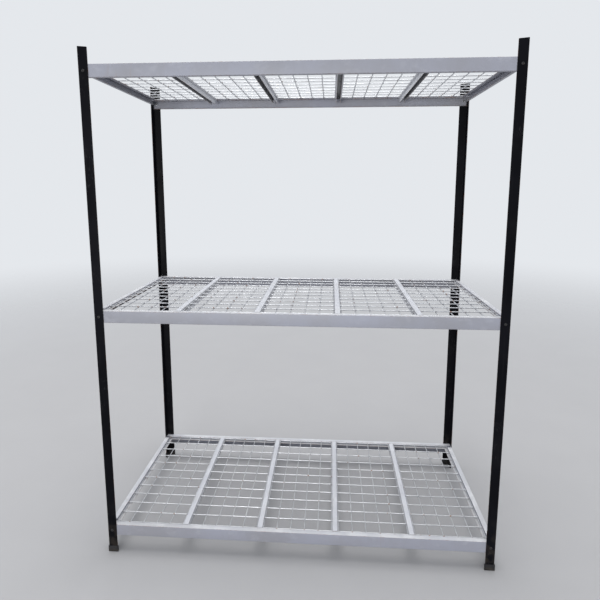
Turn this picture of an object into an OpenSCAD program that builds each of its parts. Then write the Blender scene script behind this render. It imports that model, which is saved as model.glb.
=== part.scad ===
// Three-level rack with lay-in wire decks, for greenhouse and nursery stock.
// Four angle posts stand in plastic feet. At each level four folded step beams are bolted inside the
// posts, four roll-formed bars span the depth, and five welded wire decks lie between them.
// X runs along the rack, -Y is the front, Z is up. The origin is on the floor under the middle of the rack.

/* [Rack] */
// Width over the posts
rack_w = 1490; // [900:10:2000]
// Depth over the posts
rack_d = 700; // [400:10:900]
// Height from the floor to the tops of the posts
rack_h = 1900; // [1870:5:2100]

/* [Levels] */
// Top of the lowest level above the floor
first_level_z = 115; // [95:5:140]
// Distance from one level to the next
level_step = 864; // [500:1:870]

/* [Posts] */
// Outside width of each leg of the angle
post_leg = 35; // [30:1:50]
// Sheet thickness of the posts
post_wall = 2; // [1.5:0.1:2.5]
// Outside radius of the fold between the legs
post_fold_r = 3; // [2.6:0.1:4]

/* [Feet] */
// Thickness of the plastic under a post
foot_base = 3; // [2:0.5:6]
// Thickness of the plastic around a post
foot_wall = 2; // [1.5:0.1:2]
// Height of a foot
foot_h = 24; // [15:1:32]

/* [Beams] */
// Height of a long beam's face
beam_h = 45; // [40:1:50]
// Height of a side beam's face
side_beam_h = 28; // [27:1:50]
// Sheet thickness of the beams and bars
sheet = 1.5; // [1:0.1:2]
// Width of a beam's top flange
flange_w = 20; // [15:1:28]
// Width of the ledge that carries the bars and decks
ledge_w = 15; // [12:1:20]
// Width of the lip turned in along the bottom of a beam
return_w = 12; // [8:1:16]

/* [Bars] */
// Bars under each level, evenly spaced between the side beams
bars_per_level = 4; // [2:1:6]
// Width of a bar's raised crown
crown_w = 20; // [16:1:26]
// Width of the brim on each side of a crown
brim_w = 6; // [6:0.5:14]
// Height of a bar's ends, from the ledge they lie on to the crown
bar_h = 10; // [10:0.5:12]
// Height of a bar between the ledges, from the bottom of its channel to the crown
bar_depth = 30; // [20:1:34]

/* [Wire decks] */
// Diameter of the deck wires
wire_d = 4; // [3:0.1:4]
// Meshes across a deck
meshes_x = 5; // [3:1:8]
// Meshes along a deck
meshes_y = 11; // [6:1:14]
// How far crossing wires are pressed into each other by the weld
weld_sink = 0.3; // [0.2:0.1:0.5]
// Gap between a deck and the metal beside it
deck_side_gap = 1.1; // [0.8:0.1:2]
// Gap between a deck and the brims that it lies on
deck_rest_gap = 0.3; // [0.2:0.1:0.5]

/* [Bolts] */
// Radius of a bolt's shank
shank_r = 3; // [2.5:0.1:3]
// Radius of a bolt hole in a post or a beam
bolt_hole_r = 3.3; // [3.2:0.1:3.6]
// Radius of a bolt's button head
head_r = 5.3; // [5:0.1:6]
// Height of a bolt's head
head_t = 3; // [2:0.5:4]
// Width across the flats of a nut
nut_flats = 10; // [9:0.5:10]
// Thickness of a nut
nut_t = 5; // [4:0.5:5]
// How far a bolt's end stands out of its nut
bolt_end = 1.5; // [0.5:0.5:1.5]

/* [Hidden] */
LEVELS = ["bottom", "middle", "top"];
$fn = 32;
wire_sides = 8;

post_colour = "#15161c";
foot_colour = "#26272b";
beam_colour = "#a9abb8";
bar_colour = "#dcdee2";
wire_colour = "#b9bcc0";
bolt_colour = "#1c1d22";
nut_colour = "#c4c6cb";

function level_z(l) = first_level_z + l * level_step;

// Half sizes of the rack, and of the space inside the posts' sheet
half_w = rack_w / 2;
half_d = rack_d / 2;
in_w = half_w - post_wall;
in_d = half_d - post_wall;

// The beams' face plates meet in a corner with a small gap, and the side beams' flanges stop at the ledges
corner_gap = 0.5;
long_half = in_w - sheet - corner_gap;
side_half = in_d - corner_gap - sheet;
side_flange_half = in_d - flange_w - ledge_w - corner_gap;

// Drops from a level to the ledges, those of the side beams being level with the bars' brims
long_ledge_drop = bar_h;
side_ledge_drop = bar_h - sheet;

// The bolts go through the middle of each leg, and a side beam's bolts clear the long beams' ledges
bolt_x = half_w - post_leg / 2;
bolt_y = half_d - post_leg / 2;
long_bolt_drop = beam_h / 2;
side_bolt_drop = long_ledge_drop + sheet + nut_flats / sqrt(3) + 2;

// Space for bars and decks between the top flanges, with the bars' crowns flush with the flanges
clear_x = 2 * (in_w - flange_w);
clear_y = 2 * (in_d - flange_w);
deck_slot = (clear_x - bars_per_level * crown_w) / (bars_per_level + 1);
bar_length = clear_y - 1;
bar_deep_length = 2 * (in_d - flange_w - ledge_w - 1);
brim_top = sheet - bar_h;
deck_w = deck_slot - 2 * deck_side_gap;
deck_d = clear_y - 2 * deck_side_gap;
function deck_x(i) = (i - (bars_per_level + 2) / 2) * (deck_slot + crown_w);
function bar_x(i) = deck_x(i) + (deck_slot + crown_w) / 2;

// One leg of a post as a flat strip from the fold to the free edge, with a bolt hole at each level
module post_leg_strip(bolt_drop) {
    linear_extrude(post_wall) difference() {
        translate([post_fold_r, foot_base]) square([post_leg - post_fold_r, rack_h - foot_base]);
        for (l = [0 : 2]) translate([post_leg / 2, level_z(l) - bolt_drop]) circle(bolt_hole_r);
    }
}

// A quarter of a tube, which is the fold between two legs
module post_fold() {
    translate([post_fold_r, post_fold_r, foot_base])
        linear_extrude(rack_h - foot_base)
            intersection() {
                difference() {
                    circle(post_fold_r);
                    circle(post_fold_r - post_wall);
                }
                translate([-post_fold_r, -post_fold_r]) square(post_fold_r);
            }
}

// Angle post with its fold at the origin and its legs along +X and +Y
module post() {
    color(post_colour) union() {
        post_fold();
        translate([0, post_wall, 0]) rotate([90, 0, 0]) post_leg_strip(long_bolt_drop);
        mirror([1, -1, 0]) translate([0, post_wall, 0]) rotate([90, 0, 0]) post_leg_strip(side_bolt_drop);
    }
}

// The plan of an angle with its fold at the origin
module angle_plan(leg, wall) {
    square([leg, wall]);
    square([wall, leg]);
}

// A square with rounded corners
module rounded_square(side, r) {
    translate([r, 0]) square([side - 2 * r, side]);
    translate([0, r]) square([side, side - 2 * r]);
    for (x = [r, side - r]) for (y = [r, side - r]) translate([x, y]) circle(r);
}

// Foot: a cap that closes under the post's end and grips both sides of its sheet
module foot() {
    side = post_leg + 2 * foot_wall;
    color(foot_colour) translate([-foot_wall, -foot_wall, 0]) difference() {
        linear_extrude(foot_h) intersection() {
            rounded_square(side, foot_wall);
            angle_plan(side, 2 * foot_wall + post_wall);
        }
        translate([foot_wall, foot_wall, foot_base]) linear_extrude(foot_h) angle_plan(post_leg, post_wall);
    }
}

// Puts a corner piece, made with its fold at the origin, at one corner of the rack
module at_corner(side_x, side_y) {
    translate([side_x * half_w, side_y * half_d, 0])
        mirror([side_x > 0 ? 1 : 0, 0, 0]) mirror([0, side_y > 0 ? 1 : 0, 0]) children();
}

// Section of a beam: its face on the Y axis, its top at the origin, and its ledge reaching +X
module beam_section(high, ledge_drop) {
    translate([0, -high]) square([sheet, high]);
    translate([0, -high]) square([return_w, sheet]);
    translate([0, -sheet]) square([flange_w, sheet]);
    translate([flange_w - sheet, -ledge_drop - sheet]) square([sheet, ledge_drop + sheet]);
    translate([flange_w - sheet, -ledge_drop - sheet]) square([ledge_w + sheet, sheet]);
}

// Beam along X with its face towards -Y. The flanges run over flange_half, the face plate over face_half
module beam(high, face_half, flange_half, ledge_drop, bolt_at, bolt_drop) {
    color(beam_colour) difference() {
        union() {
            translate([-flange_half, 0, 0]) rotate([90, 0, 90])
                linear_extrude(2 * flange_half) beam_section(high, ledge_drop);
            translate([-face_half, 0, -high]) cube([2 * face_half, sheet, high]);
        }
        for (s = [-1, 1]) translate([s * bolt_at, 0, -bolt_drop]) rotate([90, 0, 0])
            cylinder(h = 8 * sheet, r = bolt_hole_r, center = true);
    }
}

module long_beam(l, side_y) {
    translate([0, side_y * in_d, level_z(l)])
        rotate([0, 0, side_y > 0 ? 180 : 0])
            beam(beam_h, long_half, long_half, long_ledge_drop, bolt_x, long_bolt_drop);
}

module side_beam(l, side_x) {
    translate([side_x * in_w, 0, level_z(l)])
        rotate([0, 0, side_x > 0 ? 90 : -90])
            beam(side_beam_h, side_half, side_flange_half, side_ledge_drop, bolt_y, side_bolt_drop);
}

// Stretch of a bar: a channel open at the bottom, with a brim on each side of the given thickness
module bar_stretch(length, depth, brim_t) {
    translate([0, length / 2, 0]) rotate([90, 0, 0]) linear_extrude(length) difference() {
        union() {
            translate([-crown_w / 2 - brim_w, sheet - bar_h - brim_t]) square([crown_w + 2 * brim_w, brim_t]);
            translate([-crown_w / 2, -depth]) square([crown_w, depth]);
        }
        translate([sheet - crown_w / 2, -2 * depth]) square([crown_w - 2 * sheet, 2 * depth - sheet]);
    }
}

// Bar along Y, with its crown flush with the beams' top flanges. Between the ledges the brims are folded
// double and the channel hangs below them, and at the ends everything below the ledges is cut away.
module bar(l, i) {
    color(bar_colour) translate([bar_x(i), 0, level_z(l)]) {
        bar_stretch(bar_length, bar_h, sheet);
        bar_stretch(bar_deep_length, bar_depth, 2 * sheet);
    }
}

// Welded wire deck: wires along Y on the brims, and wires along X sunk into their backs
module deck(l, i) {
    lower_z = brim_top + deck_rest_gap + wire_d / 2;
    upper_z = lower_z + wire_d - weld_sink;
    span_x = deck_w - wire_d;
    span_y = deck_d - wire_d;
    color(wire_colour) translate([deck_x(i), 0, level_z(l)]) union() {
        for (k = [0 : meshes_x]) translate([span_x * (k / meshes_x - 0.5), 0, lower_z])
            rotate([90, 0, 0]) cylinder(h = deck_d, d = wire_d, center = true, $fn = wire_sides);
        for (k = [0 : meshes_y]) translate([0, span_y * (k / meshes_y - 0.5), upper_z])
            rotate([0, 90, 0]) cylinder(h = deck_w, d = wire_d, center = true, $fn = wire_sides);
    }
}

// Bolt along -Y, with the inner face of a beam's plate at y = sheet and its head outside the post
module bolt() {
    color(bolt_colour) rotate([90, 0, 0]) {
        translate([0, 0, -sheet - nut_t - bolt_end])
            cylinder(h = sheet + nut_t + bolt_end + post_wall, r = shank_r);
        translate([0, 0, post_wall]) cylinder(h = head_t, r = head_r);
    }
}

// Hexagon nut on that bolt, against the beam
module nut() {
    color(nut_colour) rotate([90, 0, 0]) translate([0, 0, -sheet - nut_t]) difference() {
        cylinder(h = nut_t, r = nut_flats / 2 / cos(30), $fn = 6);
        translate([0, 0, -1]) cylinder(h = nut_t + 2, r = shank_r + 0.05);
    }
}

// Puts a bolt or a nut at the eight beam ends of one level
module at_beam_ends(l) {
    for (x = [-1, 1]) for (y = [-1, 1]) {
        translate([x * bolt_x, y * in_d, level_z(l) - long_bolt_drop])
            rotate([0, 0, y > 0 ? 180 : 0]) children();
        translate([x * in_w, y * bolt_y, level_z(l) - side_bolt_drop])
            rotate([0, 0, x > 0 ? 90 : -90]) children();
    }
}

at_corner(-1, -1) post();  // front_left_post
at_corner(-1, -1) foot();  // front_left_foot
at_corner(-1, 1) post();  // rear_left_post
at_corner(-1, 1) foot();  // rear_left_foot
at_corner(1, -1) post();  // front_right_post
at_corner(1, -1) foot();  // front_right_foot
at_corner(1, 1) post();  // rear_right_post
at_corner(1, 1) foot();  // rear_right_foot
for (l = [0 : 2]) {
    long_beam(l, -1);
    long_beam(l, 1);
    side_beam(l, -1);
    side_beam(l, 1);
    for (i = [1 : bars_per_level])
        bar(l, i);
    for (i = [1 : bars_per_level + 1])
        deck(l, i);
    at_beam_ends(l) bolt();
    at_beam_ends(l) nut();
}
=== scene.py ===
# A three-level rack for greenhouse and nursery stock: angle posts, folded step beams bolted inside them,
# roll-formed cross bars, and welded wire decks that lie loose between the bars and lift out.
# Lengths are in metres. X runs along the rack, -Y is the front, Z is up, and the origin is on the floor.
import math
import random

import bmesh
import bpy
from mathutils import Matrix, Vector


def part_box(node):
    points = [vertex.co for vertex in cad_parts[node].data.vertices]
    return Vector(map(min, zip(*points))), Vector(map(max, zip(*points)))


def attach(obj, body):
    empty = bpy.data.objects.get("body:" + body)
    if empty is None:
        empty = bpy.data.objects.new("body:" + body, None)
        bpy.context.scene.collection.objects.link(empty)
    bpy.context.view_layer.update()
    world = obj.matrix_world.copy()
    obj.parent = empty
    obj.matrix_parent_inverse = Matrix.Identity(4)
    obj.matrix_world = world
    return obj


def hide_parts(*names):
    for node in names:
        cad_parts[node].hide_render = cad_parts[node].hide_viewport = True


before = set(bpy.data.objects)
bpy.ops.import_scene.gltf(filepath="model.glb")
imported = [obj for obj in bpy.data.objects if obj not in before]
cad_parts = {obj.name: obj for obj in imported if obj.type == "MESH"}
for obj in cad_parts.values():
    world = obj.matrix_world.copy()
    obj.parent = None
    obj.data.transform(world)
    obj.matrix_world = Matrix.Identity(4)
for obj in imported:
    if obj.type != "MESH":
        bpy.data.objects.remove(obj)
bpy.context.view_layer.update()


# ---------------------------------------------------------------- Posts
# Four angle posts of 2 mm steel, folded once along their length and stove-enamelled black. Each stands
# with its fold at a corner of the rack, and the tops of its legs are clipped so that they don't snag.
corners = [(name_y + "_" + name_x, side_x, side_y)
           for name_x, side_x in (("left", -1), ("right", 1))
           for name_y, side_y in (("front", -1), ("rear", 1))]
post_low, post_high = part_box("front_right_post")
rack_corner = post_high.x, -post_low.y
rack_height = post_high.z
post_foot = post_low.z
post_wall = 0.002
post_leg = 0.035
post_bend = 0.002
top_clip = 0.004
arc_steps = 6
worn_edge = 0.0014
rounding = 0.0003


class Shade:
    """A socket in a material's node tree. Arithmetic on it adds Math nodes, and node() adds any other."""

    def __init__(self, tree, socket=None):
        self.tree = tree
        self.socket = socket

    def node(self, kind, settings, sockets, out=0):
        made = self.tree.nodes.new("ShaderNode" + kind)
        for key, value in settings.items():
            setattr(made, key, value)
        for key, value in sockets.items():
            if isinstance(value, Shade):
                self.tree.links.new(value.socket, made.inputs[key])
            else:
                made.inputs[key].default_value = value
        return Shade(self.tree, made.outputs[out] if made.outputs else None)

    def math(self, operation, first, second):
        return self.node("Math", {"operation": operation}, {0: first, 1: second})

    def __add__(self, other):
        return self.math("ADD", self, other)

    def __radd__(self, other):
        return self.math("ADD", other, self)

    def __sub__(self, other):
        return self.math("SUBTRACT", self, other)

    def __rsub__(self, other):
        return self.math("SUBTRACT", other, self)

    def __mul__(self, other):
        return self.math("MULTIPLY", self, other)

    def __rmul__(self, other):
        return self.math("MULTIPLY", other, self)

    def __abs__(self):
        return self.math("ABSOLUTE", self, 0.0)

    def rise(self, low, high):
        """0 up to low, 1 from high on, and a smooth rise between them."""
        return self.node("MapRange", {"interpolation_type": "SMOOTHSTEP"},
                         {"Value": self, "From Min": low, "From Max": high})

    def over(self, under, over):
        """The colour under where this mask is 0, and the colour over where it is 1."""
        return self.node("Mix", {"data_type": "RGBA"}, {0: self, 6: under, 7: over}, 2)

    def place(self):
        """The point of the surface, in the rack's metres."""
        return self.node("TexCoord", {}, {}, "Object")

    def height(self):
        """How far the point is above the floor at rest."""
        return self.node("SeparateXYZ", {}, {0: self.place()}, "Z")

    def facing_up(self):
        """1 on faces that look at the ceiling, 0 on upright ones, -1 on undersides."""
        return self.node("SeparateXYZ", {}, {0: self.node("NewGeometry", {}, {}, "Normal")}, "Z")

    def cloud(self, scale, detail=4.0, stretch=(1.0, 1.0, 1.0), twist=0.0):
        """Even cloudy noise from 0 to 1, with scale features to the metre."""
        along = self.node("VectorMath", {"operation": "MULTIPLY"}, {0: self.place(), 1: stretch})
        return self.node("TexNoise", {}, {"Vector": along, "Scale": scale, "Detail": detail,
                                          "Roughness": 0.55, "Distortion": twist})

    def mark(self, name):
        """A number that the mesh carries at its points, such as the wear of an edge."""
        return self.node("Attribute", {"attribute_name": name}, {}, "Fac")

    def surface(self, colour, rough, height, relief, metal=0.0, gloss=0.5):
        """Ends the tree: a surface with that colour, roughness and relief, the relief in metres."""
        bump = self.node("Bump", {}, {"Height": height, "Strength": 1.0, "Distance": relief})
        body = self.node("BsdfPrincipled", {}, {
            "Base Color": colour, "Roughness": rough, "Metallic": metal,
            "Specular IOR Level": gloss, "Normal": bump})
        self.node("OutputMaterial", {}, {"Surface": body}, None)


def new_finish(name):
    """A material with an empty node tree, and the shade that its nodes are added through."""
    finish = bpy.data.materials.new(name)
    finish.use_nodes = True
    finish.node_tree.nodes.clear()
    return finish, Shade(finish.node_tree)


def black_enamel():
    finish, shade = new_finish("black_enamel")
    tone = shade.cloud(4.0, 5.0).rise(0.35, 0.7)
    runs = shade.cloud(60.0, 5.0, (1.0, 1.0, 0.05)).rise(0.56, 0.72)
    splash = (1 - shade.height().rise(0.01, 0.24)) * shade.cloud(34.0, 8.0).rise(0.44, 0.62)
    dust = shade.cloud(9.0, 9.0).rise(0.5, 0.8)
    scuffs = 1 - abs(shade.cloud(30.0, 2.0, (1.0, 1.0, 0.35), 1.6) - 0.5).rise(0.0, 0.006)
    scuffs = scuffs * shade.cloud(7.0, 2.0).rise(0.56, 0.62)
    wear = shade.mark("wear")
    chips = (wear * 0.75 + shade.cloud(170.0, 4.0)).rise(1.06, 1.12)
    rust = chips * shade.cloud(48.0, 5.0).rise(0.5, 0.6)
    colour = tone.over((0.0018, 0.0019, 0.0032, 1), (0.0036, 0.0037, 0.0058, 1))
    colour = (dust * 0.055 + runs * 0.06).over(colour, (0.055, 0.053, 0.054, 1))
    colour = (scuffs * 0.4).over(colour, (0.07, 0.07, 0.075, 1))
    colour = (splash * 0.22).over(colour, (0.07, 0.058, 0.046, 1))
    colour = (chips * 0.8).over(colour, (0.11, 0.11, 0.115, 1))
    colour = (rust * 0.8).over(colour, (0.10, 0.037, 0.015, 1))
    rough = 0.36 + tone * 0.08 + dust * 0.2 + splash * 0.3 + rust * 0.3
    shade.surface(colour, rough, shade.cloud(900.0, 2.0) * 0.3 - chips, 0.00012, gloss=0.055)
    return finish


def bend_up(points, bend):
    """Stations across a folded sheet, from the corners of its middle line: (x, z, normal x, normal z,
    wear of its two faces). Every corner between becomes an arc of radius bend, worn on its outer face."""
    points = [Vector(point) for point in points]
    stations = []

    def add(at, normal, wear):
        stations.append((at.x, at.y, normal.x, normal.y, wear))

    headings = [(points[k + 1] - points[k]).normalized() for k in range(len(points) - 1)]
    normals = [Vector((-h.y, h.x)) for h in headings]
    add(points[0], normals[0], (1.0, 1.0))
    add(points[0] + headings[0] * worn_edge, normals[0], (0.0, 0.0))
    for k in range(1, len(points) - 1):
        turn = headings[k - 1].angle_signed(headings[k])
        side = 1 if turn > 0 else -1
        centre = points[k] - headings[k - 1] * bend - normals[k - 1] * side * bend
        for step in range(arc_steps + 1):
            part = step / arc_steps
            normal = normals[k - 1].copy()
            normal.rotate(Matrix.Rotation(-turn * part, 2))
            crest = 1 - abs(2 * part - 1)
            add(centre + normal * side * bend, normal, (0.0, crest) if side > 0 else (crest, 0.0))
    add(points[-1] - headings[-1] * worn_edge, normals[-1], (0.0, 0.0))
    add(points[-1], normals[-1], (1.0, 1.0))
    return stations


def cross_lines(stops):
    """Lines across a sheet at the stops, worn at the first and the last: (place along it, wear)."""
    inner = [(stop, 0.0) for stop in stops[1:-1]]
    return [(stops[0], 1.0), (stops[0] + worn_edge, 0.0), *inner,
            (stops[-1] - worn_edge, 0.0), (stops[-1], 1.0)]


def press(stations, lines, wall, place, notched=None, sunk=None):
    """A mesh of folded sheet. place(x, z, along) puts a point of the section where it is in the rack.
    notched(x, z, along) is true in the middle of a cell that is cut away before folding.
    sunk(x, z, face) is 1 where shade is painted in as a darker colour, on the inner face 0 or the outer 1."""
    mesh = bmesh.new()
    wear = mesh.verts.layers.float.new("wear")
    painted_shade = mesh.verts.layers.float.new("painted_shade")
    corner = {}

    def point(i, j, face):
        if (i, j, face) not in corner:
            x, z, normal_x, normal_z, worn = stations[i]
            reach = (face - 0.5) * wall
            vert = mesh.verts.new(place(x + normal_x * reach, z + normal_z * reach, lines[j][0]))
            vert[wear] = max(worn[face], lines[j][1])
            vert[painted_shade] = sunk(x, z, face) if sunk else 0.0
            corner[i, j, face] = vert
        return corner[i, j, face]

    def kept(i, j):
        if not (0 <= i < len(stations) - 1 and 0 <= j < len(lines) - 1):
            return False
        middle = [(stations[i][k] + stations[i + 1][k]) / 2 for k in (0, 1)]
        return not (notched and notched(*middle, (lines[j][0] + lines[j + 1][0]) / 2))

    for i in range(len(stations) - 1):
        for j in range(len(lines) - 1):
            if not kept(i, j):
                continue
            loop = [(i, j), (i + 1, j), (i + 1, j + 1), (i, j + 1)]
            for face in (0, 1):
                mesh.faces.new([point(*at, face) for at in loop])
            beside = [(i, j - 1), (i + 1, j), (i, j + 1), (i - 1, j)]
            for k in range(4):
                if not kept(*beside[k]):
                    start, end = loop[k], loop[(k + 1) % 4]
                    mesh.faces.new([point(*start, 0), point(*end, 0),
                                    point(*end, 1), point(*start, 1)])
    bmesh.ops.recalc_face_normals(mesh, faces=mesh.faces)
    return mesh


def made_piece(name, mesh, finish, soften=0.0):
    """The object of a mesh, smooth over its curves, with its cut edges softened by that much."""
    data = bpy.data.meshes.new(name)
    mesh.to_mesh(data)
    mesh.free()
    data.materials.append(finish)
    data.shade_smooth()
    piece = bpy.data.objects.new(name, data)
    bpy.context.scene.collection.objects.link(piece)
    if soften:
        bevel = piece.modifiers.new("soften", "BEVEL")
        bevel.width = soften
        bevel.segments = 2
        bevel.limit_method = "ANGLE"
        bevel.angle_limit = math.radians(42)
        bevel.harden_normals = True
        bevel.use_clamp_overlap = True
    return piece


post_finish = black_enamel()
middle_line = post_wall / 2
post_stations = bend_up([(post_leg, middle_line), (middle_line, middle_line), (middle_line, post_leg)],
                        post_bend)
post_lines = cross_lines([post_foot, 0.1, 0.5, 1.0, 1.5, 1.8, rack_height - 0.02,
                          rack_height - top_clip, rack_height])
for where, side_x, side_y in corners:
    def stand(x, y, along, side_x=side_x, side_y=side_y):
        clipped = max(0.0, max(x, y) - post_leg + top_clip)
        along = min(along, rack_height - clipped)
        return side_x * (rack_corner[0] - x), side_y * (rack_corner[1] - y), along

    post = made_piece(where + "_post_angle", press(post_stations, post_lines, post_wall, stand),
                      post_finish, rounding)
    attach(post, "frame")
    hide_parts(where + "_post")


# ---------------------------------------------------------------- Feet
# A black polypropylene cap pushed onto the end of each post. It closes under the angle and grips both
# sides of its sheet, and its rims are rounded.
foot_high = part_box("front_right_foot")[1].z
foot_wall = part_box("front_right_foot")[1].x - rack_corner[0]
foot_side = post_leg + 2 * foot_wall
foot_grip = post_wall + 2 * foot_wall
foot_corner = 0.0015
foot_rim = 0.0007


def foot_plastic():
    finish, shade = new_finish("foot_plastic")
    dust = shade.cloud(60.0, 8.0).rise(0.42, 0.66)
    soil = (1 - shade.height().rise(0.002, 0.02)) * shade.cloud(120.0, 6.0).rise(0.38, 0.56)
    scuffs = 1 - abs(shade.cloud(90.0, 2.0, twist=2.0) - 0.5).rise(0.0, 0.01)
    colour = (dust * 0.2).over((0.007, 0.007, 0.009, 1), (0.05, 0.048, 0.045, 1))
    colour = (scuffs * 0.3).over(colour, (0.07, 0.07, 0.07, 1))
    colour = (soil * 0.3).over(colour, (0.085, 0.07, 0.055, 1))
    rough = 0.5 + dust * 0.15 + soil * 0.2
    shade.surface(colour, rough, shade.cloud(1400.0, 2.0) - soil * 0.5, 0.0001, gloss=0.3)
    return finish


def rounded(outline, radius, steps=4):
    """The outline with each corner, outer or inner, turned into an arc of that radius."""
    result = []
    for k in range(len(outline)):
        before, at, after = (Vector(outline[(k + d) % len(outline)]) for d in (-1, 0, 1))
        start = at + (before - at).normalized() * radius
        end = at + (after - at).normalized() * radius
        for step in range(steps + 1):
            t = step / steps
            result.append(start * (1 - t) ** 2 + at * 2 * t * (1 - t) + end * t ** 2)
    return result


def moulding(mesh, outline, low, high, lip, place):
    """Adds an upright moulding to a mesh: a plan drawn up from low to high, its rims rounded by lip."""
    rings = []
    rims = ((low, lip), (low + lip, 0.0), (high - lip, 0.0), (high - lip * 0.3, lip * 0.3), (high, lip))
    for z, inset in rims:
        ring = []
        for k, point in enumerate(outline):
            along = (outline[(k + 1) % len(outline)] - outline[k - 1]).normalized()
            inward = Vector((-along.y, along.x)) * inset
            ring.append(mesh.verts.new(place(*(point + inward), z)))
        rings.append(ring)
    for lower, upper in zip(rings, rings[1:]):
        for k in range(len(outline)):
            after = (k + 1) % len(outline)
            mesh.faces.new([lower[k], lower[after], upper[after], upper[k]])
    mesh.faces.new(rings[0])
    mesh.faces.new(rings[-1])


foot_finish = foot_plastic()
angle = [(0, 0), (foot_side, 0), (foot_side, foot_grip), (foot_grip, foot_grip),
         (foot_grip, foot_side), (0, foot_side)]
for where, side_x, side_y in corners:
    def stand(x, y, z, side_x=side_x, side_y=side_y):
        return side_x * (rack_corner[0] + foot_wall - x), side_y * (rack_corner[1] + foot_wall - y), z

    mesh = bmesh.new()
    moulding(mesh, rounded(angle, foot_corner), 0.0, foot_high, foot_rim, stand)
    bmesh.ops.recalc_face_normals(mesh, faces=mesh.faces)
    foot = made_piece(where + "_foot_cap", mesh, foot_finish)
    foot.data.set_sharp_from_angle(angle=math.radians(50))
    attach(foot, "frame")
    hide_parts(where + "_foot")


# ---------------------------------------------------------------- Beams
# At each level four beams of 1.5 mm steel, roll-folded and enamelled pale grey: a face, a flat top flange,
# a step down to the ledge that carries bars and decks, and a stiffening lip turned in along the bottom.
# The side beams are shallower. Their flanges stop short of the long beams, and their faces run on.
beam_wall = 0.0015
beam_bend = 0.00145
flange = 0.020
ledge = 0.035
lip = 0.012
long_drop = 0.010
side_drop = 0.0085
side_flange_half = 0.3125
face_margin = beam_bend + beam_wall / 2
levels = ("bottom", "middle", "top")


def grey_enamel():
    finish, shade = new_finish("grey_enamel")
    tone = shade.cloud(5.0, 6.0).rise(0.3, 0.72)
    blotch = shade.cloud(24.0, 8.0, (1.0, 1.0, 1.6)).rise(0.52, 0.74)
    runs = shade.cloud(42.0, 6.0, (1.0, 1.0, 0.16)).rise(0.5, 0.8)
    # Upward faces get a painted highlight: paler paint that stands in for light from above.
    top = shade.facing_up().rise(0.5, 0.9)
    dust = top * shade.cloud(13.0, 9.0).rise(0.42, 0.7)
    specks = shade.cloud(210.0, 3.0).rise(0.7, 0.76)
    wear = shade.mark("wear")
    chips = (wear * 0.62 + shade.cloud(150.0, 4.0)).rise(1.0, 1.06)
    rust = chips * shade.cloud(20.0, 4.0).rise(0.42, 0.56)
    weep = shade.cloud(26.0, 6.0, (1.0, 1.0, 0.12)).rise(0.63, 0.74)
    weep = weep * shade.cloud(3.1, 2.0).rise(0.48, 0.6)
    colour = tone.over((0.226, 0.229, 0.258, 1), (0.256, 0.267, 0.322, 1))
    colour = (runs * 0.24).over(colour, (0.205, 0.208, 0.23, 1))
    colour = (blotch * 0.2).over(colour, (0.38, 0.39, 0.43, 1))
    # Painted highlight: upward faces are mixed towards pale grey, and the real dust on them lightens them
    # further.
    colour = (top * 0.42 + dust * 0.3).over(colour, (0.60, 0.605, 0.62, 1))
    colour = (specks * 0.55).over(colour, (0.14, 0.125, 0.11, 1))
    colour = (weep * 0.28).over(colour, (0.21, 0.15, 0.105, 1))
    # Painted shade: the ledge tops are darkened, more where the blotches are.
    colour = (shade.mark("painted_shade") * (0.3 + 0.4 * blotch)).over(colour, (0.17, 0.16, 0.15, 1))
    colour = (chips * 0.75).over(colour, (0.17, 0.165, 0.165, 1))
    colour = (rust * 0.75).over(colour, (0.17, 0.075, 0.032, 1))
    rough = 0.4 + tone * 0.1 + dust * 0.25 + blotch * 0.12 + rust * 0.25
    shade.surface(colour, rough, shade.cloud(700.0, 2.0) * 0.35 - chips, 0.00012, gloss=0.4)
    return finish


def beam_stations(depth, drop):
    half = beam_wall / 2
    return bend_up([(lip, half - depth), (half, half - depth), (half, -half), (flange - half, -half),
                    (flange - half, -drop - half), (ledge, -drop - half)], beam_bend)


def on_ledge(x, z, face):
    """1 on the top of the ledge, where shade under the decks is painted in as a darker colour."""
    return 1.0 if face == 1 and x > flange else 0.0


beam_finish = grey_enamel()
for level in levels:
    for where, side in (("front", -1), ("rear", 1)):
        low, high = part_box(level + "_" + where + "_beam")
        stops = [low.x, -0.55, -0.3, 0.0, 0.3, 0.55, high.x]
        face = low.y if side < 0 else high.y
        top = high.z

        def lay(x, z, along, face=face, side=side, top=top):
            return along, face - side * x, top + z

        folded = press(beam_stations(high.z - low.z, long_drop), cross_lines(stops), beam_wall, lay,
                       sunk=on_ledge)
        beam = made_piece(level + "_" + where + "_step_beam", folded, beam_finish, rounding)
        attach(beam, "frame")
        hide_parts(level + "_" + where + "_beam")
    for where, side in (("left", -1), ("right", 1)):
        low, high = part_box(level + "_" + where + "_beam")
        stops = [low.y, -side_flange_half, -side_flange_half + worn_edge, -0.1,
                 0.1, side_flange_half - worn_edge, side_flange_half, high.y]
        face = low.x if side < 0 else high.x
        top = high.z

        def lay(x, z, along, face=face, side=side, top=top):
            return face - side * x, along, top + z

        def notched(x, z, along, depth=high.z - low.z):
            in_face = x < beam_wall and face_margin - depth < z < -face_margin
            return abs(along) > side_flange_half and not in_face

        folded = press(beam_stations(high.z - low.z, side_drop), cross_lines(stops), beam_wall, lay,
                       notched, on_ledge)
        beam = made_piece(level + "_" + where + "_step_beam", folded, beam_finish, rounding)
        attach(beam, "frame")
        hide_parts(level + "_" + where + "_beam")


# ---------------------------------------------------------------- Cross bars
# Four bars to a level, roll-formed from 1.5 mm steel and enamelled off-white: a channel open underneath,
# with a brim hemmed out of each side to carry the decks' edges. Their ends are cut away below the brims
# and lie on the long beams' ledges, so that the crowns are level with the flanges.
bar_wall = 0.0015
hem_bend = 0.00074
crown_half = 0.010
brim_half = 0.016
bar_high = 0.010
bar_deep = 0.030
deep_half = 0.312


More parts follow.
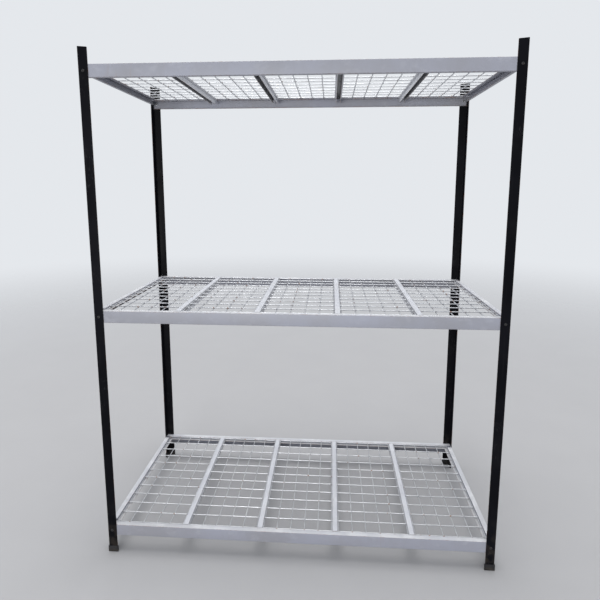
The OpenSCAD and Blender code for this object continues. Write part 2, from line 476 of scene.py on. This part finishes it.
def white_enamel():
    finish, shade = new_finish("white_enamel")
    tone = shade.cloud(9.0, 6.0).rise(0.3, 0.7)
    grime = shade.cloud(38.0, 8.0, (1.0, 0.35, 1.0)).rise(0.5, 0.74)
    rings = 1 - abs(shade.cloud(17.0, 3.0, twist=0.6) - 0.52).rise(0.0, 0.016)
    rings = rings * shade.cloud(5.0, 2.0).rise(0.5, 0.6)
    wear = shade.mark("wear")
    painted_shade = shade.mark("painted_shade")
    chips = (wear * 0.62 + shade.cloud(190.0, 4.0)).rise(1.04, 1.1)
    rust = chips * shade.cloud(30.0, 4.0).rise(0.46, 0.58)
    colour = tone.over((0.42, 0.43, 0.47, 1), (0.49, 0.50, 0.535, 1))
    colour = (grime * 0.3).over(colour, (0.33, 0.325, 0.32, 1))
    colour = (rings * 0.25).over(colour, (0.27, 0.25, 0.22, 1))
    # Painted shade: the inside of the channel and the tops of the brims are made nearly black.
    colour = (painted_shade * (0.62 + 0.3 * grime)).over(colour, (0.10, 0.10, 0.105, 1))
    colour = (chips * 0.7).over(colour, (0.30, 0.29, 0.29, 1))
    colour = (rust * 0.7).over(colour, (0.24, 0.11, 0.05, 1))
    rough = 0.38 + tone * 0.1 + grime * 0.25 + rust * 0.2
    shade.surface(colour, rough, shade.cloud(800.0, 2.0) * 0.35 - chips, 0.00012, gloss=0.4)
    return finish


def unseen(x, z, face):
    """1 inside the channel and on the tops of the brims, where shade is painted in as a dark colour."""
    if face == 0:
        return 1.0 if abs(x) < crown_half else 0.0
    return 1.0 if abs(x) > crown_half + 0.001 and z > -bar_high else 0.0


def ends_cut(x, z, along):
    """True below the brims over the ledges, where the bar's ends are cut away."""
    return abs(along) > deep_half and z < -bar_high


bar_finish = white_enamel()
brim_line = bar_wall / 2 - bar_high
hem_line = brim_line - bar_wall
hem_edge = brim_half - bar_wall / 2
side_line = crown_half - bar_wall / 2
half_bar = [(side_line, -bar_wall / 2), (side_line, brim_line), (hem_edge, brim_line),
            (hem_edge, hem_line), (side_line, hem_line), (side_line, -bar_deep)]
bar_stations = bend_up([(-x, z) for x, z in half_bar[::-1]] + half_bar, hem_bend)
for level in levels:
    for number in range(1, 5):
        node = level + "_bar_" + str(number)
        low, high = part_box(node)
        stops = [low.y, -deep_half, -deep_half + worn_edge, -0.1,
                 0.1, deep_half - worn_edge, deep_half, high.y]

        def lay(x, z, along, middle=(low.x + high.x) / 2, top=high.z):
            return middle + x, along, top + z

        folded = press(bar_stations, cross_lines(stops), bar_wall, lay, ends_cut, unseen)
        bar = made_piece(node + "_channel", folded, bar_finish, rounding)
        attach(bar, "frame")
        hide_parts(node)


# ---------------------------------------------------------------- Bolts and nuts
# M6 button-head bolts, black oxide, with their heads outside the posts, and zinc-plated hexagon nuts
# inside the beams. Eight of each to a level, two at every corner.
head_round = 0.0053
head_high = 0.003
head_rim = 0.0003
head_flat = 0.0026
key_flats = 0.0042
key_deep = 0.0017
thread_pitch = 0.001
shank = 0.003
nut_flats = 0.010
nut_high = 0.005
nut_face = 0.0050
nut_corner = 0.0058
chamfer = 0.0007
bolt_end = 0.0015
ring_sides = 36
long_bolt_drop = 0.0225
side_bolt_drop = 0.01927
bolt_inset = post_leg / 2


def black_oxide():
    finish, shade = new_finish("black_oxide")
    dust = shade.cloud(240.0, 6.0).rise(0.42, 0.66)
    rust = shade.cloud(420.0, 5.0).rise(0.6, 0.7)
    colour = (dust * 0.35).over((0.013, 0.0135, 0.016, 1), (0.06, 0.058, 0.055, 1))
    colour = (rust * 0.6).over(colour, (0.10, 0.04, 0.018, 1))
    rough = 0.42 + dust * 0.2 + rust * 0.2
    shade.surface(colour, rough, shade.cloud(2600.0, 2.0), 0.00005, 0.25, 0.3)
    return finish


def plated_zinc():
    finish, shade = new_finish("plated_zinc")
    bloom = shade.cloud(320.0, 6.0).rise(0.5, 0.68)
    rust = shade.cloud(500.0, 5.0).rise(0.64, 0.74)
    colour = bloom.over((0.50, 0.51, 0.53, 1), (0.66, 0.67, 0.68, 1))
    colour = (rust * 0.6).over(colour, (0.20, 0.09, 0.04, 1))
    rough = 0.3 + bloom * 0.3 + rust * 0.2
    shade.surface(colour, rough, shade.cloud(2200.0, 2.0), 0.00005, 0.85 - bloom * 0.5)
    return finish


def six_sided(turn, flats):
    """The distance from the middle of a hexagon to its edge, at that angle."""
    return flats / 2 / math.cos((turn + math.pi / 6) % (math.pi / 3) - math.pi / 6)


def turned(mesh, rings, place):
    """Adds a turned piece to a mesh, closed at both ends. A ring is (distance along, radius), and the
    radius may be a number or a function of the angle."""
    loops = []
    for along, radius in rings:
        loop = []
        for k in range(ring_sides):
            turn = 2 * math.pi * k / ring_sides
            reach = radius(turn) if callable(radius) else radius
            loop.append(mesh.verts.new(place(reach * math.cos(turn), reach * math.sin(turn), along)))
        loops.append(loop)
    for lower, upper in zip(loops, loops[1:]):
        for k in range(ring_sides):
            after = (k + 1) % ring_sides
            mesh.faces.new([lower[k], lower[after], upper[after], upper[k]])
    mesh.faces.new(loops[0])
    mesh.faces.new(loops[-1])


def bolt_rings():
    """A bolt from the end of its shank to the socket in its head. 0 is the outer face of the post."""
    start = -(post_wall + beam_wall + nut_high + bolt_end)
    rings = [(start, shank * 0.72), (start + 0.0004, shank * 0.9)]
    for turn in range(6):
        crest = start + 0.0006 + turn * thread_pitch
        rings.append((crest, shank))
        rings.append((crest + thread_pitch / 2, shank * 0.86))
    rings += [(-0.0006, shank), (0.0, shank), (0.0, head_round - 0.0002), (head_rim, head_round)]
    for step in range(1, 8):
        lean = step / 8 * math.pi / 2
        rings.append((head_rim + (head_high - head_rim) * math.sin(lean),
                      head_flat + (head_round - head_flat) * math.cos(lean)))
    rings += [(head_high, lambda turn: six_sided(turn, key_flats) + 0.0003),
              (head_high - 0.0002, lambda turn: six_sided(turn, key_flats)),
              (head_high - key_deep, lambda turn: six_sided(turn, key_flats)),
              (head_high - key_deep - 0.0002, lambda turn: six_sided(turn, key_flats) * 0.6)]
    return rings


def nut_rings():
    """A nut with both faces chamfered. 0 is its face on the beam."""
    def cut(round_limit):
        return lambda turn: min(six_sided(turn, nut_flats), round_limit)
    return [(0.0, shank), (0.0, cut(nut_face)), (0.0004, cut(0.00545)), (chamfer, cut(nut_corner)),
            (nut_high - chamfer, cut(nut_corner)), (nut_high - 0.0004, cut(0.00545)),
            (nut_high, cut(nut_face)), (nut_high, shank + 0.0006), (nut_high - 0.0006, shank)]


bolt_finish = black_oxide()
nut_finish = plated_zinc()
spread = random.Random(6)
for level in levels:
    level_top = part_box(level + "_front_beam")[1].z
    heads = bmesh.new()
    nuts = bmesh.new()
    for where, side_x, side_y in corners:
        for outward in (Vector((side_x, 0, 0)), Vector((0, side_y, 0))):
            if outward.x:
                seat = Vector((side_x * rack_corner[0], side_y * (rack_corner[1] - bolt_inset),
                               level_top - side_bolt_drop))
            else:
                seat = Vector((side_x * (rack_corner[0] - bolt_inset), side_y * rack_corner[1],
                               level_top - long_bolt_drop))
            up = Vector((0, 0, 1))
            up.rotate(Matrix.Rotation(spread.uniform(0, math.pi), 3, outward))
            across = up.cross(outward)

            def fix(a, b, along, seat=seat, across=across, up=up, outward=outward):
                return seat + across * a + up * b + outward * along

            def fit(a, b, along, seat=seat, across=across, up=up, outward=outward):
                return seat + across * a + up * b - outward * (post_wall + beam_wall + along)

            turned(heads, bolt_rings(), fix)
            turned(nuts, nut_rings(), fit)
    for mesh, kind, finish, slot in ((heads, "_bolts", bolt_finish, "bolt_black"),
                                     (nuts, "_nuts", nut_finish, "nut_zinc")):
        bmesh.ops.recalc_face_normals(mesh, faces=mesh.faces)
        fixing = made_piece(level + kind + "_m6", mesh, finish)
        fixing.data.set_sharp_from_angle(angle=math.radians(35))
        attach(fixing, "frame")
        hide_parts(level + kind)


# ---------------------------------------------------------------- Wire decks
# Five decks to a level, of 4 mm zinc-plated wire: six wires along Y lie on the brims and ledges, and
# twelve wires along X cross over them. Every crossing is resistance-welded, which leaves a small nugget
# and a dulled patch. A deck lies loose in its bay and lifts straight out.
wire_round = 0.002
meshes_x = 5
meshes_y = 11
weld_sink = 0.0003
wire_sides = 12
nugget_sides = 10
nugget_round = 0.0023
nugget_thick = 0.0009
nugget_inset = 0.0007
burn_reach = 0.0045
shear = 0.0004
bow = 0.0003


def zinc_wire():
    finish, shade = new_finish("zinc_wire")
    tone = shade.cloud(7.0, 5.0).rise(0.32, 0.68)
    bloom = shade.cloud(95.0, 7.0).rise(0.5, 0.7)
    dirt = shade.cloud(16.0, 8.0).rise(0.56, 0.76)
    weld = shade.mark("weld")
    burn = weld * shade.cloud(230.0, 4.0).rise(0.3, 0.62)
    rust = (weld * 0.16 + shade.cloud(60.0, 6.0)).rise(0.68, 0.78)
    colour = tone.over((0.42, 0.43, 0.455, 1), (0.51, 0.52, 0.545, 1))
    colour = (bloom * 0.6).over(colour, (0.60, 0.61, 0.63, 1))
    colour = (dirt * 0.3).over(colour, (0.25, 0.23, 0.20, 1))
    colour = (burn * 0.55).over(colour, (0.25, 0.25, 0.28, 1))
    colour = (rust * 0.7).over(colour, (0.25, 0.12, 0.055, 1))
    rough = 0.34 + bloom * 0.25 + dirt * 0.2 + burn * 0.2 + rust * 0.3
    metal = 0.8 - bloom * 0.45 - dirt * 0.5 - rust * 0.4
    shade.surface(colour, rough, shade.cloud(1300.0, 3.0) * 0.5 - rust, 0.00008, metal)
    return finish


def wire_bends(shape, number, last):
    """How far a wire bows, in waves of one and two. The first and the last bow only into the deck."""
    if 0 < number < last:
        return [shape.uniform(-1, 1), shape.uniform(-1, 1)]
    return [shape.uniform(0, 1) * (1 if number == 0 else -1)]


def straight_wire(mesh, weld, start, end, upright, sideways, crossings, bends):
    """Adds a wire from start to end, with sheared ends and a faint bow between its crossings."""
    length = (end - start).length
    along = (end - start) / length
    stops = [(0.0, 0.82, 0.0), (shear, 1.0, 0.0)]
    for at in crossings:
        stops += [(at - burn_reach, 1.0, 0.0), (at - wire_round, 1.0, 1.0),
                  (at + wire_round, 1.0, 1.0), (at + burn_reach, 1.0, 0.0)]
    stops = [stop for stop in stops if 0.0 <= stop[0] < length - shear]
    stops = sorted(stops) + [(length - shear, 1.0, 0.0), (length, 0.82, 0.0)]
    loops = []
    for at, size, welded in stops:
        part = at / length
        drift = sum(bend * math.sin((k + 1) * math.pi * part) for k, bend in enumerate(bends))
        centre = start + along * at + sideways * bow * drift
        loop = []
        for k in range(wire_sides):
            turn = 2 * math.pi * (k + 0.5) / wire_sides
            reach = (upright * math.sin(turn) + sideways * math.cos(turn)) * wire_round * size
            vert = mesh.verts.new(centre + reach)
            vert[weld] = welded
            loop.append(vert)
        loops.append(loop)
    for lower, upper in zip(loops, loops[1:]):
        for k in range(wire_sides):
            after = (k + 1) % wire_sides
            mesh.faces.new([lower[k], lower[after], upper[after], upper[k]])
    mesh.faces.new(loops[0])
    mesh.faces.new(loops[-1])


def nugget(mesh, weld, at, spread_out, thick):
    """Adds the squeezed-out metal of a weld, a flat drop between two crossing wires."""
    loops = []
    for step in range(-2, 3):
        lean = step * math.pi / 5
        loop = []
        for k in range(nugget_sides):
            turn = 2 * math.pi * k / nugget_sides
            reach = spread_out * math.cos(lean)
            vert = mesh.verts.new(at + Vector((reach * math.cos(turn), reach * math.sin(turn),
                                               thick * math.sin(lean))))
            vert[weld] = 1.0
            loop.append(vert)
        loops.append(loop)
    for lower, upper in zip(loops, loops[1:]):
        for k in range(nugget_sides):
            after = (k + 1) % nugget_sides
            mesh.faces.new([lower[k], lower[after], upper[after], upper[k]])
    mesh.faces.new(loops[0][::-1])
    mesh.faces.new(loops[-1])


wire_finish = zinc_wire()
level_up = Vector((0, 0, 1))
for level in levels:
    for number in range(1, 6):
        node = level + "_deck_" + str(number)
        low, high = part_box(node)
        shape = random.Random(node)
        mesh = bmesh.new()
        weld = mesh.verts.layers.float.new("weld")
        first = Vector((low.x + wire_round, low.y + wire_round))
        pitch_x = (high.x - low.x - 2 * wire_round) / meshes_x
        pitch_y = (high.y - low.y - 2 * wire_round) / meshes_y
        lower_z = low.z + wire_round
        upper_z = lower_z + 2 * wire_round - weld_sink
        for k in range(meshes_x + 1):
            x = first.x + k * pitch_x
            crossings = [wire_round + n * pitch_y for n in range(meshes_y + 1)]
            straight_wire(mesh, weld, Vector((x, low.y, lower_z)), Vector((x, high.y, lower_z)), level_up,
                          Vector((1, 0, 0)), crossings, wire_bends(shape, k, meshes_x))
        for k in range(meshes_y + 1):
            y = first.y + k * pitch_y
            crossings = [wire_round + n * pitch_x for n in range(meshes_x + 1)]
            straight_wire(mesh, weld, Vector((low.x, y, upper_z)), Vector((high.x, y, upper_z)), level_up,
                          Vector((0, 1, 0)), crossings, wire_bends(shape, k, meshes_y))
        for i in range(meshes_x + 1):
            for j in range(meshes_y + 1):
                size = shape.uniform(0.9, 1.15)
                inset_x = nugget_inset * ((i == 0) - (i == meshes_x))
                inset_y = nugget_inset * ((j == 0) - (j == meshes_y))
                at = Vector((first.x + i * pitch_x + inset_x, first.y + j * pitch_y + inset_y,
                             (lower_z + upper_z) / 2))
                nugget(mesh, weld, at, nugget_round * size, nugget_thick * size)
        bmesh.ops.recalc_face_normals(mesh, faces=mesh.faces)
        deck = made_piece(node + "_wires", mesh, wire_finish)
        deck.data.set_sharp_from_angle(angle=math.radians(60))
        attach(deck, node)
        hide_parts(node)


# ---------------------------------------------------------------- Studio
# A plain pale floor that fades into a plain pale room, soft light from above, from the front and from both
# sides, and a camera at standing eye height in front of the rack, a little right of its middle.
floor_reach = 9.0
floor_mesh = bmesh.new()
bmesh.ops.create_circle(floor_mesh, cap_ends=True, segments=96, radius=floor_reach)
floor_finish, shade = new_finish("pale_floor")
away = shade.node("VectorMath", {"operation": "LENGTH"}, {0: shade.place()}, "Value")
pale = shade.node("BsdfPrincipled", {}, {
    "Base Color": shade.cloud(3.0, 4.0).over((0.31, 0.31, 0.32, 1), (0.33, 0.33, 0.34, 1)),
    "Roughness": 0.9, "Specular IOR Level": 0.1})
shade.node("OutputMaterial", {}, {"Surface": shade.node("MixShader", {}, {
    0: away.rise(1.2, 8.6), 1: pale, 2: shade.node("BsdfTransparent", {}, {})})}, None)
floor = made_piece("floor", floor_mesh, floor_finish)
floor.location.z = -0.0005

room = bpy.data.worlds.new("pale_room")
room.use_nodes = True
backdrop = room.node_tree.nodes["Background"]
backdrop.inputs["Color"].default_value = (0.93, 0.96, 1.0, 1)
backdrop.inputs["Strength"].default_value = 0.84
bpy.context.scene.world = room

for name, place, size, power in (("overhead", (-0.3, 0.4, 9.0), 5.7, 760.0),
                                 ("front_fill", (-1.2, -7.6, 0.9), 1.7, 290.0),
                                 ("left_window", (-7.4, -0.8, 1.0), 1.8, 160.0),
                                 ("right_window", (7.4, -0.4, 1.0), 1.8, 90.0)):
    lamp_data = bpy.data.lights.new(name, "AREA")
    lamp_data.size = size
    lamp_data.energy = power
    lamp_data.color = (1.0, 0.99, 0.97)
    lamp = bpy.data.objects.new(name, lamp_data)
    lamp.location = place
    lamp.rotation_euler = (Vector((0, 0, 0.9)) - lamp.location).to_track_quat("-Z", "Y").to_euler()
    bpy.context.scene.collection.objects.link(lamp)

camera_data = bpy.data.cameras.new("camera")
camera_data.sensor_width = 36.0
camera_data.lens = 28.75
camera_data.shift_x = 0.0015
camera_data.shift_y = -0.07
camera = bpy.data.objects.new("camera", camera_data)
camera.location = (0.118, -2.004, 1.433)
camera.rotation_euler = (math.radians(90 - 8.58), 0.0, math.radians(3.77))
bpy.context.scene.collection.objects.link(camera)
bpy.context.scene.camera = camera
bpy.context.scene.view_settings.view_transform = "Standard"
